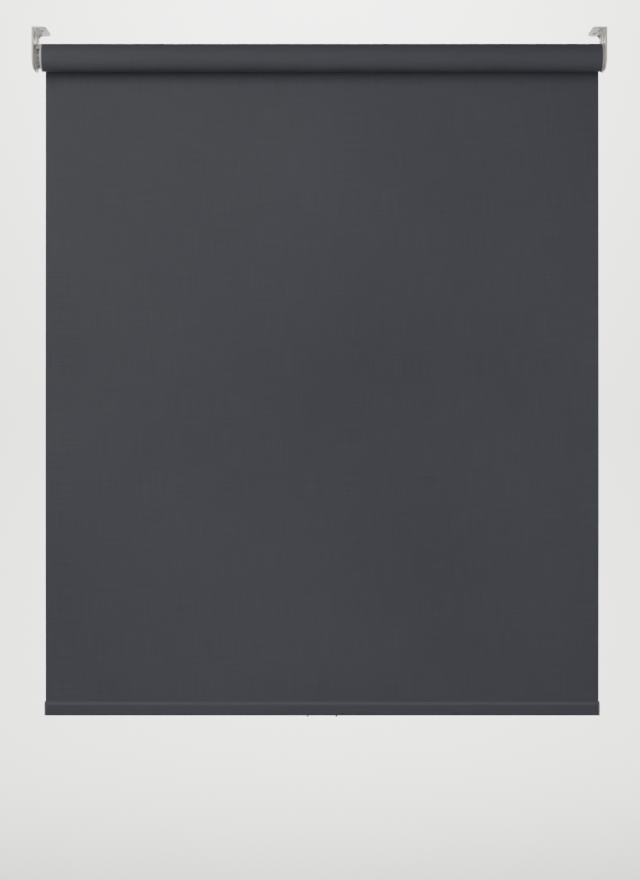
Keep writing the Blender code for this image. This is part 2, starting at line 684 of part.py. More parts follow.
def hem_pocket():
    """The pocket of fabric round the bar."""
    inside = oval(HEM_HEIGHT - 2 * CLOTH, HEM_DEPTH - 2 * CLOTH)
    pocket = sleeve(oval(HEM_HEIGHT, HEM_DEPTH), inside, CLOTH_LEFT, CLOTH_RIGHT)
    piece = piece_from(pocket, "hem_pocket", CHARCOAL_CLOTH, BAR_LINE)
    combine(piece, foot_holes("pocket_holes"), "DIFFERENCE")


def bar_size(inset):
    """The height and depth of an oval that lies a given way inside the pocket."""
    return HEM_HEIGHT - 2 * (CLOTH + GAP + inset), HEM_DEPTH - 2 * (CLOTH + GAP + inset)


def bottom_bar():
    """The hollow aluminium bar that keeps the fabric straight."""
    bar = sleeve(oval(*bar_size(0)), oval(*bar_size(BAR_WALL)), CLOTH_LEFT, CLOTH_RIGHT)
    piece = piece_from(bar, "bottom_bar", ALUMINIUM, BAR_LINE)
    combine(piece, foot_holes("bar_holes"), "DIFFERENCE")


def bar_cap(name, edge, side):
    """An end cap. It covers the hem's end, and its plug sits in the bar."""
    outer = [(edge + side * GAP, y, z) for y, z in oval(HEM_HEIGHT, HEM_DEPTH)]
    cap = prism(outer, (side * BAR_CAP, 0, 0))
    piece = piece_from(cap, name, CHARCOAL_PLASTIC, BAR_LINE)
    start = edge + side * (GAP + OVERLAP)
    plug = prism([(start, y, z) for y, z in oval(*bar_size(BAR_WALL + GAP))],
                 (-side * (BAR_CAP_PLUG + OVERLAP), 0, 0))
    combine(piece, tool_from(plug, name + "_plug", BAR_LINE), "UNION")


def bar_foot(name, side):
    """A small plastic foot pushed into the underside of the bar."""
    base = HEM_HEIGHT / 2 + GAP
    stem_top = HEM_HEIGHT / 2 - CLOTH - GAP - BAR_WALL
    outline = [(stem_top, 0), (stem_top, FOOT_STEM_R), (base, FOOT_STEM_R), (base, FOOT_R),
               (base + FOOT_DROP * 0.5, FOOT_R), (base + FOOT_DROP, FOOT_R * 0.6),
               (base + FOOT_DROP, 0)]
    work = turned(outline, 12)
    bmesh.ops.rotate(work, verts=work.verts, cent=(0, 0, 0), matrix=Matrix.Rotation(pi / 2, 3, "Y"))
    x = CLOTH_MIDDLE + side * FOOT_SPACING / 2
    bmesh.ops.translate(work, verts=work.verts, vec=(x, 0, 0))
    piece_from(work, name, CHARCOAL_PLASTIC, BAR_LINE)


# ---- The blind ---------------------------------------------------------------------------------
clear_scene()
WHITE_PLASTIC = finish("white_plastic", (0.58, 0.56, 0.52), 0.45)
GREY_PLASTIC = finish("grey_plastic", (0.42, 0.41, 0.39), 0.5)
ALUMINIUM = finish("aluminium", (0.75, 0.75, 0.76), 0.35, 1.0)
STEEL = finish("zinc_plated_steel", (0.62, 0.62, 0.60), 0.35, 1.0)
SPRING_STEEL = finish("spring_steel", (0.36, 0.36, 0.37), 0.4, 1.0)
CHARCOAL_CLOTH = finish("charcoal_cloth", (0.058, 0.060, 0.068), 0.9)
CHARCOAL_PLASTIC = finish("charcoal_plastic", (0.035, 0.036, 0.040), 0.5)
TOOL = finish("tool", (1.0, 0.3, 0.1), 0.5)

FIXED_AXIS = pivot("fixed_axis", (0, 0, -AXIS_DROP))
SPROCKET_AXIS = pivot("sprocket_axis", (0, 0, -AXIS_DROP))
ROLLER_AXIS = pivot("roller_axis", (0, 0, -AXIS_DROP))
PIN_AXIS = pivot("pin_axis", (0, 0, -AXIS_DROP))
BAR_LINE = pivot("bar_line", (0, SHEET_MIDDLE, HEM_MIDDLE))

brackets()
chain_guard()
clutch_core()
chain_sprocket()
drive_hub()
tube_adapter()
clutch_springs()
core_fastening()
roller_tube()
fabric_strip()
fabric_roll()
idle_plug()
idle_pin()
idle_spring()
idle_cap()
fabric_sheet()
hem_pocket()
bottom_bar()
bar_cap("bar_cap_left", CLOTH_LEFT, -1)
bar_cap("bar_cap_right", CLOTH_RIGHT, 1)
bar_foot("bar_foot_left", -1)
bar_foot("bar_foot_right", 1)
apply_cuts()
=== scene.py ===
# %% [markdown]
# # A roller blind, finished for a close look
# The working model of the blind (tube, clutch, pins, springs) already exists as a fixed frame. This
# lesson dresses it: cloth that hangs and curls like cloth, moulded brackets with soft edges, and a
# finish for every material. Nothing of the frame is moved. We only lay finer pieces over it and hide
# the parts of the frame that they stand for.

# %% Load the frame
import json
from math import atan2, cos, pi, radians, sin, tau

import bmesh
import bpy
from mathutils import Matrix, Vector, noise


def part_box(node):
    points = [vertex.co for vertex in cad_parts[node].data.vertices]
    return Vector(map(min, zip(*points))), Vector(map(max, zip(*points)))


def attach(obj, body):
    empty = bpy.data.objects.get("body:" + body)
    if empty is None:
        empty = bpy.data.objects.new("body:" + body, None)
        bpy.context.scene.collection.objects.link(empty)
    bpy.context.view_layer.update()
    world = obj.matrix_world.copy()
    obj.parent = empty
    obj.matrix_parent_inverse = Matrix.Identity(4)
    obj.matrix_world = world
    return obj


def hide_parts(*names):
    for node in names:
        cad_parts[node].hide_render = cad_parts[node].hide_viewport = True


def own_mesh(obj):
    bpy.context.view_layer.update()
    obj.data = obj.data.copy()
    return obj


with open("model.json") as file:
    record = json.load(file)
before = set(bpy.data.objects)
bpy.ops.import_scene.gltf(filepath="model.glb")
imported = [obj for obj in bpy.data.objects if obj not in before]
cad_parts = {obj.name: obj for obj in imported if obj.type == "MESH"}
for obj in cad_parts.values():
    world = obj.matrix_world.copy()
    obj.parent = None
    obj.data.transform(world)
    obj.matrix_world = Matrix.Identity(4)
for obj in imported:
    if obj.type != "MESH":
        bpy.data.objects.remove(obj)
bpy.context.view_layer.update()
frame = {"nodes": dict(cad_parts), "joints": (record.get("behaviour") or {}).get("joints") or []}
MM = 0.001
print("nodes in the frame:", len(frame["nodes"]))

# %% [markdown]
# ## Where things are
# A designer would read sizes off the drawing. Here the frame is the drawing, so each place is
# measured from the box round a part. Walls and radii that no box shows are written once, in
# millimetres. X runs along the roller, -Y points into the room and Z = 0 is the ceiling that the
# brackets are screwed to.

# %% Measure the frame
BRACKET_LOW, BRACKET_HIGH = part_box("control_bracket")
GUARD_LOW, GUARD_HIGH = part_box("chain_guard")
WHEEL_LOW, WHEEL_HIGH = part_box("chain_sprocket")
HUB_LOW, HUB_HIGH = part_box("drive_hub")
ROLL_LOW, ROLL_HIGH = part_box("fabric_roll")
PLUG_LOW, PLUG_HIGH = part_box("idle_plug")
HEM_LOW, HEM_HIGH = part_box("hem_pocket")
SHEET_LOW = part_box("fabric_sheet")[0]
TUBE_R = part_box("roller_tube")[1].y
JOINTS = {joint["name"]: joint for joint in frame["joints"]}
AXIS = Vector(JOINTS["roller_spin"]["pos_m"])
print(f"the roller's axis is {-AXIS.z / MM:.0f} mm under the ceiling")

# %% The cloth's main sizes
CLOTH = 0.45 * MM  # thickness
GAP = 0.3 * MM  # running room between parts that turn against each other
CLOTH_LEFT, CLOTH_RIGHT = ROLL_LOW.x, ROLL_HIGH.x
CLOTH_WIDTH = CLOTH_RIGHT - CLOTH_LEFT
ROLL_R = ROLL_HIGH.y
DROP = AXIS.z - SHEET_LOW.z  # from the axis down to the hem
print(f"cloth {CLOTH_WIDTH / MM:.1f} mm wide, roll {2 * ROLL_R / MM:.1f} mm across")

# %% [markdown]
# ## The camera
# A blind is shown square on, from the middle of the window, a few steps back. The camera looks
# straight along +Y, so uprights stay upright. A small downward shift, as on a view camera, takes in
# the hem without tilting. The lens is a little longer than normal for its sensor, which keeps the
# two ends from looking stretched.

# %% Set up the camera
lens = bpy.data.cameras.new("camera")
lens.sensor_fit = "VERTICAL"
lens.sensor_height = 36.0
lens.lens = 68.7273
lens.shift_y = -0.036
camera = bpy.data.objects.new("camera", lens)
camera.location = (0.0009, -2.472, -0.5557)
camera.rotation_euler = (radians(90), 0, 0)
bpy.context.scene.collection.objects.link(camera)
bpy.context.scene.camera = camera
print(f"lens {lens.lens:.1f} mm, {-camera.location.y:.2f} m from the roller")

# %% [markdown]
# ## Helpers for finishes
# Colours are picked as sRGB hex codes, the way a colour chart gives them, but shaders work in
# linear light, so one function converts them. Another adds a shader node, sets its options and
# fills its inputs, either with a value or with another node's output. Everything else is written
# out, so that the recipe of each finish can be read from top to bottom.

# %% Colour helper
def colour(code):
    """An sRGB hex code as linear red, green, blue and alpha."""
    channels = [int(code[i:i + 2], 16) / 255 for i in (1, 3, 5)]
    linear = [c / 12.92 if c <= 0.04045 else ((c + 0.055) / 1.055) ** 2.4 for c in channels]
    return (*linear, 1.0)


print("a middle grey lets back this share of the light:", round(colour("#808080")[0], 3))

# %% Node helpers
def add(tree, kind, options, inputs):
    """One shader node with its options set and its inputs filled by values or by other outputs."""
    node = tree.nodes.new("ShaderNode" + kind)
    for name, value in options.items():
        setattr(node, name, value)
    for name, source in inputs.items():
        if isinstance(source, bpy.types.NodeSocket):
            tree.links.new(source, node.inputs[name])
        else:
            node.inputs[name].default_value = source
    return node


def new_finish(name, sockets):
    """A material with a Principled BSDF whose named sockets are set. Returns material, tree, shader."""
    material = bpy.data.materials.new(name)
    material.use_nodes = True
    tree = material.node_tree
    shader = tree.nodes["Principled BSDF"]
    for socket, value in sockets.items():
        shader.inputs[socket].default_value = value
    return material, tree, shader


print("materials so far:", len(bpy.data.materials))

# %% [markdown]
# ## Woven cloth
# Blackout cloth is a fine plain weave of spun polyester with a coated back. Up close it is a
# chequer of thread crossings; from a step away the eye only catches threads that are a little
# thicker or darker than their neighbours. The crossings could be an image, but two sine waves
# multiplied give the same chequer at any size. They run in the cloth's own UV map, laid out in
# metres, so the weave follows the cloth round the roll and the hem. Real threads are 0.4 mm apart,
# too fine to show at this distance, so they are drawn 0.9 mm apart.

# %% Threads and slubs
THREAD = 0.9 * MM  # coarser than the real 0.4 mm, so that it shows
THREAD_HEIGHT = 0.12 * MM
SLUB_LONG = 60 * MM  # how far a thick or thin stretch of yarn runs
SLUB_WIDE = 1.5 * MM


def thread_crossings(tree, axes):
    """A sine across the warp times a sine along the weft."""
    waves = []
    for axis in ("X", "Y"):
        turn = add(tree, "Math", {"operation": "MULTIPLY"}, {0: axes.outputs[axis], 1: pi / THREAD})
        waves.append(add(tree, "Math", {"operation": "SINE"}, {0: turn.outputs[0]}).outputs[0])
    return add(tree, "Math", {"operation": "MULTIPLY"}, {0: waves[0], 1: waves[1]}).outputs[0]


def yarn_slubs(tree, place):
    """Noise drawn out along the warp, and again along the weft."""
    slubs = []
    for stretch in ((1 / SLUB_WIDE, 1 / SLUB_LONG, 1), (1 / SLUB_LONG, 1 / SLUB_WIDE, 1)):
        drawn = add(tree, "Mapping", {"vector_type": "POINT"}, {"Vector": place, "Scale": stretch})
        slubs.append(add(tree, "TexNoise", {"noise_dimensions": "2D"},
                         {"Vector": drawn.outputs[0], "Scale": 1.0, "Detail": 2.0}).outputs[0])
    return add(tree, "Math", {"operation": "ADD"}, {0: slubs[0], 1: slubs[1]}).outputs[0]


print(f"{CLOTH_WIDTH / THREAD:.0f} threads drawn across the cloth")

# %% [markdown]
# ## Where light is painted on the cloth
# Two bands along the cloth are painted paler, as highlights. The side edges are cut with a hot
# blade, and the band along them is a painted highlight for the light that the cut edges catch. The
# other is a painted highlight on the upper shoulder of the hem, where its rounded top faces the light
# from above. Each is a band along the cloth, so one function lays a paler colour wherever a
# distance is small, with a soft rim.

# %% The cloth's finish
EDGE_HIGHLIGHT_WIDTH = 1.1 * MM  # width of the painted highlight along the hot-cut edge
SHOULDER_HIGHLIGHT_MIDDLE = -DROP - 3.5 * MM  # middle of the painted highlight on the hem's upper shoulder, along the cloth
SHOULDER_HIGHLIGHT_HALF = 3.6 * MM
CLOTH_DARK = colour("#404146")
CLOTH_LIGHT = colour("#46484d")
# painted highlight along the cut side edges
CLOTH_EDGE_HIGHLIGHT = colour("#66686e")
# painted highlight along the hem's upper shoulder, where its rounded top faces the light
CLOTH_SHOULDER_HIGHLIGHT = colour("#4e4f55")


def painted_highlight_band(tree, distance, width, core, under, pale):
    """A painted highlight: a paler colour where a distance is below a width, at full strength below
    `core` of that width.
    """
    share = add(tree, "MapRange", {}, {"Value": distance, "From Min": width, "From Max": width * core})
    return add(tree, "Mix", {"data_type": "RGBA"}, {0: share.outputs[0], 6: under, 7: pale}).outputs[2]


def woven_polyester():
    """Dull yarn with a trace of fuzz. Slubs give its tone, and threads and slubs its relief."""
    material, tree, shader = new_finish("woven_polyester_charcoal", {
        "Roughness": 0.85, "IOR": 1.5, "Specular IOR Level": 0.12,
        "Sheen Weight": 0.03, "Sheen Roughness": 0.5, "Sheen Tint": colour("#c9ccd4")})
    place = add(tree, "UVMap", {"uv_map": "cloth"}, {}).outputs["UV"]
    axes = add(tree, "SeparateXYZ", {}, {"Vector": place})
    crossings = thread_crossings(tree, axes)
    slubs = yarn_slubs(tree, place)

    cloud = add(tree, "TexNoise", {"noise_dimensions": "2D"},
                {"Vector": place, "Scale": 3.0, "Detail": 1.0})
    tone = add(tree, "Math", {"operation": "ADD"}, {0: slubs, 1: cloud.outputs[0]})
    share = add(tree, "MapRange", {}, {"Value": tone.outputs[0], "From Min": 0.9, "From Max": 2.1})
    body = add(tree, "Mix", {"data_type": "RGBA"}, {0: share.outputs[0], 6: CLOTH_DARK, 7: CLOTH_LIGHT})

    from_right = add(tree, "Math", {"operation": "SUBTRACT"}, {0: CLOTH_WIDTH, 1: axes.outputs["X"]})
    from_edge = add(tree, "Math", {"operation": "MINIMUM"},
                    {0: axes.outputs["X"], 1: from_right.outputs[0]})
    # painted highlight: a paler band along the hot-cut side edges, for the light they catch
    edge_highlighted = painted_highlight_band(tree, from_edge.outputs[0], EDGE_HIGHLIGHT_WIDTH, 0.6, body.outputs[2], CLOTH_EDGE_HIGHLIGHT)
    # painted highlight: a paler band along the hem's upper front shoulder, just under the hanging cloth
    below_highlight = add(tree, "Math", {"operation": "SUBTRACT"}, {0: axes.outputs["Y"], 1: SHOULDER_HIGHLIGHT_MIDDLE})
    from_highlight = add(tree, "Math", {"operation": "ABSOLUTE"}, {0: below_highlight.outputs[0]})
    shoulder_highlighted = painted_highlight_band(tree, from_highlight.outputs[0], SHOULDER_HIGHLIGHT_HALF, 0.4, edge_highlighted, CLOTH_SHOULDER_HIGHLIGHT)
    tree.links.new(shoulder_highlighted, shader.inputs["Base Color"])

    relief = add(tree, "Math", {"operation": "MULTIPLY_ADD"}, {0: crossings, 1: 0.3, 2: slubs})
    bump = add(tree, "Bump", {}, {"Strength": 0.5, "Distance": THREAD_HEIGHT,
                                  "Height": relief.outputs[0]})
    tree.links.new(bump.outputs[0], shader.inputs["Normal"])
    return material


WOVEN_POLYESTER = woven_polyester()
print("cloth finish with", len(WOVEN_POLYESTER.node_tree.nodes), "nodes")

# %% [markdown]
# ## Moulded plastics
# The brackets and the guard are moulded ABS in a warm off-white. What slides or turns is acetal,
# which needs no oil: pale for the two end flanges, grey for the wheel and the core. The end caps of
# the bar are charcoal nylon. A mould is spark-eroded, which leaves a fine even grain, and thick
# spots cool more slowly and shrink a little, which shows as a very slight waviness. One recipe
# serves all of them, each with its own colour and gloss: fine noise for the grain, large soft noise
# for the shrinkage.

# %% The recipe for moulded plastic
GRAIN = 0.35 * MM  # coarser than the real 0.05 mm, so that it shows
SHRINKAGE = 14 * MM


def moulded_plastic(name, light, dark, roughness, ior):
    material, tree, shader = new_finish(name, {"Roughness": roughness, "IOR": ior})
    place = add(tree, "TexCoord", {}, {}).outputs["Object"]
    wave = add(tree, "TexNoise", {}, {"Vector": place, "Scale": 1 / SHRINKAGE, "Detail": 2.0})
    grain = add(tree, "TexNoise", {}, {"Vector": place, "Scale": 1 / GRAIN, "Detail": 1.0})
    tint = add(tree, "Mix", {"data_type": "RGBA"},
               {0: wave.outputs[0], 6: colour(dark), 7: colour(light)})
    tree.links.new(tint.outputs[2], shader.inputs["Base Color"])
    gloss = add(tree, "MapRange", {}, {"Value": grain.outputs[0], "From Min": 0.3, "From Max": 0.7,
                                       "To Min": roughness - 0.06, "To Max": roughness + 0.06})
    tree.links.new(gloss.outputs[0], shader.inputs["Roughness"])
    soft = add(tree, "Bump", {}, {"Strength": 0.25, "Distance": 0.1 * MM, "Height": wave.outputs[0]})
    fine = add(tree, "Bump", {}, {"Strength": 0.2, "Distance": 0.02 * MM, "Height": grain.outputs[0],
                                  "Normal": soft.outputs[0]})
    tree.links.new(fine.outputs[0], shader.inputs["Normal"])
    return material


print(f"grain {GRAIN / MM:.2f} mm, waves {SHRINKAGE / MM:.0f} mm")

# %% Plastic finishes
WARM_WHITE_ABS = moulded_plastic("moulded_abs_warm_white", "#c4c0b9", "#b9b5ad", 0.38, 1.53)
PALE_ACETAL = moulded_plastic("moulded_acetal_pale", "#c9c7c2", "#bfbdb8", 0.34, 1.48)
# the wheel's grey is partly its own colour and partly painted shade: it is kept darker than the guard
# to stand for the shade the wheel sits in, between the guard and the hub's flange
GREY_ACETAL = moulded_plastic("moulded_acetal_grey", "#a3a19c", "#979590", 0.34, 1.48)
CHARCOAL_NYLON = moulded_plastic("moulded_nylon_charcoal", "#3b3c40", "#323337", 0.48, 1.53)
RIGID_PVC = moulded_plastic("extruded_pvc_grey", "#9a9a98", "#90908e", 0.42, 1.54)
print("finishes so far:", ", ".join(material.name for material in bpy.data.materials))

# %% [markdown]
# ## Metals
# The tube and the bar are extruded aluminium, so their surface is drawn out in fine lines along X.
# The screw, washer and pin are steel with a zinc plating, bright with faint cloudy crystals. The
# springs are wound from drawn, oil-tempered wire, which is darker. Metals keep Blender's default
# IOR: their look is in the base colour, the roughness and how both vary, so the recipe stretches
# one noise along the direction of drawing.

# %% Metal finishes
def drawn_metal(name, light, dark, roughness, streak, stretch):
    """A metal whose tone and gloss vary in streaks that run `stretch` times as far along X."""
    material, tree, shader = new_finish(name, {"Metallic": 1.0, "Roughness": roughness})
    place = add(tree, "TexCoord", {}, {}).outputs["Object"]
    drawn = add(tree, "Mapping", {}, {"Vector": place, "Scale": (1 / stretch, 1, 1)})
    lines = add(tree, "TexNoise", {}, {"Vector": drawn.outputs[0], "Scale": 1 / streak, "Detail": 3.0})
    tint = add(tree, "Mix", {"data_type": "RGBA"},
               {0: lines.outputs[0], 6: colour(dark), 7: colour(light)})
    tree.links.new(tint.outputs[2], shader.inputs["Base Color"])
    gloss = add(tree, "MapRange", {}, {"Value": lines.outputs[0], "From Min": 0.3, "From Max": 0.7,
                                       "To Min": roughness + 0.08, "To Max": roughness - 0.06})
    tree.links.new(gloss.outputs[0], shader.inputs["Roughness"])
    bump = add(tree, "Bump", {}, {"Strength": 0.15, "Distance": 0.03 * MM, "Height": lines.outputs[0]})
    tree.links.new(bump.outputs[0], shader.inputs["Normal"])
    return material


EXTRUDED_ALUMINIUM = drawn_metal("extruded_aluminium", "#dcdcdd", "#c8c9cb", 0.32, 0.5 * MM, 60)
ZINC_PLATED_STEEL = drawn_metal("zinc_plated_steel", "#d3d2cc", "#bdbdb9", 0.28, 2.5 * MM, 1)
SPRING_STEEL = drawn_metal("oil_tempered_spring_steel", "#8d8a86", "#6f6d6b", 0.33, 0.3 * MM, 4)
print("metals:", EXTRUDED_ALUMINIUM.name, ZINC_PLATED_STEEL.name, SPRING_STEEL.name)

# %% [markdown]
# ## Turned shapes and finished pieces
# Most of the blind is turned about one line, the roller's axis, so `turned` spins an outline of (x,
# radius) points round it, as a lathe would. A shape is worked on as a bmesh and becomes an object
# in `piece_from`, which closes its seams, turns its faces outwards and marks crisp edges. Modifiers
# are made final by `settle`, and `install` puts a finished piece on the body that carries it.

# %% Helpers for pieces
CRISP = radians(35)  # faces that meet at more than this show an edge


def turned(outline, steps=96):
    """A round body about the roller's axis. An outline that starts and ends at radius 0 stays open."""
    work = bmesh.new()
    points = [work.verts.new((x, 0, AXIS.z + radius)) for x, radius in outline]
    sides = [work.edges.new(pair) for pair in zip(points, points[1:])]
    if outline[0][1] > 0:
        sides.append(work.edges.new((points[-1], points[0])))
    bmesh.ops.spin(work, geom=points + sides, axis=(1, 0, 0), cent=AXIS, angle=tau, steps=steps,
                   use_merge=True)
    return work


def settle(piece):
    """Make the piece's modifiers final."""
    graph = bpy.context.evaluated_depsgraph_get()
    final = bpy.data.meshes.new_from_object(piece.evaluated_get(graph))
    piece.modifiers.clear()
    piece.data = final


def piece_from(work, name, finish):
    """Turn a bmesh into an object at the origin, with outward faces and smooth curves."""
    bmesh.ops.remove_doubles(work, verts=work.verts, dist=0.002 * MM)
    bmesh.ops.recalc_face_normals(work, faces=work.faces)
    mesh = bpy.data.meshes.new(name)
    work.to_mesh(mesh)
    work.free()
    mesh.shade_smooth()
    mesh.set_sharp_from_angle(angle=CRISP)
    mesh.materials.append(finish)
    piece = bpy.data.objects.new(name, mesh)
    bpy.context.scene.collection.objects.link(piece)
    return piece


def install(piece, body, slot, *nodes):
    """Put a finished piece on its body and hide the parts of the frame that it stands for. The slot is
    not used.
    """
    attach(piece, body)
    if nodes:
        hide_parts(*nodes)
    print(f"{piece.name}: {len(piece.data.polygons)} faces, rides on {body}")


print("edges sharper than", round(CRISP / pi * 180), "degrees stay crisp")

# %% [markdown]
# ## The turns of cloth on the tube
# When the blind is down, three turns of cloth stay on the tube so that its glued edge carries no
# load. Seen from the end each turn is a ring with a slightly rounded cut edge. The two inner turns
# are one turned body whose outline steps round those edges, and they turn with the tube. The UV map
# is laid by a formula: across is the place along X, and along is the length of an arc, which keeps
# the threads the same size everywhere.

# %% Lay the cloth's UV map
def map_cloth(work, along):
    """Lay the cloth's own UV map, in metres: across from its left edge, and along its length."""
    layer = work.loops.layers.uv.new("cloth")
    for face in work.faces:
        middle = face.calc_center_median()
        for corner in face.loops:
            point = corner.vert.co
            corner[layer].uv = (point.x - CLOTH_LEFT, along(point, middle))


def wound_at(radius):
    """The length along wound cloth, over the top, from the line at the back where it hangs down."""
    early = 0.3  # a face this little before that line isn't a whole turn on

    def turn(point):
        return atan2(point.z - AXIS.z, point.y - AXIS.y)

    def along(point, middle):
        start = (turn(middle) + early) % tau - early
        return radius * (start + (turn(point) - turn(middle) + pi) % tau - pi)
    return along


LINE_AT_BACK = Vector((CLOTH_LEFT, AXIS.y + ROLL_R, AXIS.z))
print("cloth starts at", wound_at(ROLL_R)(LINE_AT_BACK, LINE_AT_BACK), "m, at the back of the roll")

# %% Inner turns
SLIP = 0.02 * MM  # between the inner turns and the outer one


def cut_edges(x, inward, radii):
    """Points down the rounded cut edges of the turns, outermost first."""
    nick = 0.12 * MM
    points = []
    for outer, inner in zip(radii, radii[1:]):
        points += [(x + inward * nick, outer), (x, outer - nick),
                   (x, inner + nick), (x + inward * nick, inner)]
    return points


def wound_cloth():
    outer, inner = ROLL_R - CLOTH - SLIP, TUBE_R + SLIP
    radii = (outer, (outer + inner) / 2 + SLIP, inner)
    work = turned(cut_edges(CLOTH_RIGHT, -1, radii) + cut_edges(CLOTH_LEFT, 1, radii)[::-1])
    map_cloth(work, wound_at(outer))
    return piece_from(work, "wound_cloth", WOVEN_POLYESTER)


install(wound_cloth(), "roller", "charcoal_cloth", "fabric_roll")

# %% [markdown]
# ## The outermost turn
# The cloth leaves the back of the roll and hangs plumb. Its last turn round the roll is a line
# across the cloth, spun most of the way round: from the back, over the top, down the front and into
# the nip below. Solidify then gives it the cloth's thickness. It could be part of the inner turns,
# but the hanging cloth joins it, so it stays still with the brackets while the turns inside it
# revolve.

# %% The outermost turn
NIP = radians(342)  # how far round the outermost turn reaches


def thicken(piece):
    """Give a single surface the thickness of cloth, half to each side, with crisp cut edges."""
    wall = piece.modifiers.new("thickness", "SOLIDIFY")
    wall.thickness = CLOTH
    wall.offset = 0
    settle(piece)
    piece.data.set_sharp_from_angle(angle=CRISP)


def outer_turn():
    radius = ROLL_R - CLOTH / 2
    work = bmesh.new()
    ends = [work.verts.new((x, AXIS.y + radius, AXIS.z)) for x in (CLOTH_LEFT, CLOTH_RIGHT)]
    work.edges.new(ends)
    bmesh.ops.spin(work, geom=work.verts[:] + work.edges[:], axis=(1, 0, 0), cent=AXIS,
                   angle=NIP, steps=114)
    map_cloth(work, wound_at(radius))
    piece = piece_from(work, "outer_turn", WOVEN_POLYESTER)
    thicken(piece)
    return piece


install(outer_turn(), "brackets", "charcoal_cloth")

# %% [markdown]
# ## The hem
# The cloth goes down the front of the bar, under it and up the back, and is welded to itself just
# above. So the hem is one open strip: it leaves the plane of the hanging cloth, rounds the bar in a
# flat oval and ends in a short tab behind. The oval is a superellipse, whose one exponent moves it
# from an ellipse towards a box. The strip is drawn as a line of points, extruded along the bar and
# thickened.

# %% The hem's outline
SHEET_Y = ROLL_R - CLOTH / 2  # the plane of the hanging cloth, straight down from the back of the roll
HEM_MIDDLE = (HEM_LOW + HEM_HIGH) / 2
HEM_SIZE = HEM_HIGH - HEM_LOW
SQUARENESS = 2.5
WELD_TAB = 4 * MM
SHOULDER = radians(14)  # half of the opening at the top of the oval


def oval(height, depth, start, end, points):
    """(y, z) points of a superellipse about the bar. Angles run from the back over the top."""
    outline = []
    for i in range(points):
        angle = start + (end - start) * i / (points - 1)
        y, z = cos(angle), sin(angle)
        y = abs(y) ** (2 / SQUARENESS) * (1 if y > 0 else -1)
        z = abs(z) ** (2 / SQUARENESS) * (1 if z > 0 else -1)
        outline.append((HEM_MIDDLE.y + depth / 2 * y, HEM_MIDDLE.z + height / 2 * z))
    return outline


def hem_line():
    """(y, z) points along the cloth of the hem, from its top at the front to the end of the tab."""
    top, back = SHEET_LOW.z, SHEET_Y + 1.1 * CLOTH
    path = [(SHEET_Y, top), (SHEET_Y - 0.2 * MM, top - 0.5 * MM)]
    path += oval(HEM_SIZE.z - CLOTH, HEM_SIZE.y - CLOTH, pi / 2 + SHOULDER, 5 * pi / 2 - SHOULDER, 72)
    path += [(back + 0.2 * MM, top - 0.2 * MM), (back, top + 0.6 * MM), (back, top + WELD_TAB)]
    return path


print(f"hem {HEM_SIZE.z / MM:.1f} mm high and {HEM_SIZE.y / MM:.1f} mm deep")

# %% The hem pocket
def extruded(path, left, width):
    """A line of (y, z) points pushed along X into one open surface."""
    work = bmesh.new()
    line = [work.verts.new((left, y, z)) for y, z in path]
    edges = [work.edges.new(pair) for pair in zip(line, line[1:])]
    grown = bmesh.ops.extrude_edge_only(work, edges=edges)["geom"]
    bmesh.ops.translate(work, vec=(width, 0, 0),
                        verts=[v for v in grown if isinstance(v, bmesh.types.BMVert)])
    return work


def hem_pocket():
    path = hem_line()
    work = extruded(path, CLOTH_LEFT, CLOTH_WIDTH)
    places = {}
    length = 0.0
    for i, spot in enumerate(path):
        if i:
            length += (Vector(spot) - Vector(path[i - 1])).length
        places[spot] = -DROP - length

    def along(point, middle):
        return places[min(places, key=lambda spot: abs(spot[0] - point.y) + abs(spot[1] - point.z))]

    map_cloth(work, along)
    piece = piece_from(work, "cloth_hem", WOVEN_POLYESTER)
    thicken(piece)
    install(piece, "hem", "charcoal_cloth", "hem_pocket")
    return piece


CLOTH_HEM = hem_pocket()

# %% [markdown]
# ## The hanging cloth
# The hanging part is a grid stood upright. Tension keeps it nearly flat, so a cloth simulation
# would have nothing to do; what shows on a real blind is a faint sway and the way the side edges
# curl towards the room, where the coated back has shrunk. Both are small moves of the grid's
# points, and both fade out where the roll and the bar hold the cloth. When the bar is lifted the
# cloth winds on to the roll.

# %% How the cloth hangs
SWAY = 0.5 * MM
CURL = 2.0 * MM
CURL_WIDTH = 36 * MM
HELD_BY_ROLL = 0.68  # share of the drop over which the cloth's freedom grows, from the roll down
HELD_BY_BAR = 0.3  # and from the bar up
WAVES_ACROSS, WAVES_DOWN = 4.5, 2.0  # of the sway, to the metre


def hang(point):
    """How far a point of the cloth stands out of its plane."""
    down = (AXIS.z - point.z) / DROP
    free = max(0, min(1, down / HELD_BY_ROLL, (1 - down) / HELD_BY_BAR))
    free *= free * (3 - 2 * free)
    inside = min(point.x - CLOTH_LEFT, CLOTH_RIGHT - point.x)
    curl = CURL * max(0, 1 - inside / CURL_WIDTH) ** 2
    wave = noise.noise(Vector((point.x * WAVES_ACROSS, point.z * WAVES_DOWN, 0.3)))
    sway = SWAY * (1 + wave) / 2
    return -free * (sway + curl)


HALF_WAY = Vector((CLOTH_LEFT, 0, AXIS.z - DROP / 2))
print(f"half way down, the left edge stands {-hang(HALF_WAY) / MM:.1f} mm out")

# %% The hanging cloth
COLUMNS, ROWS = 136, 96


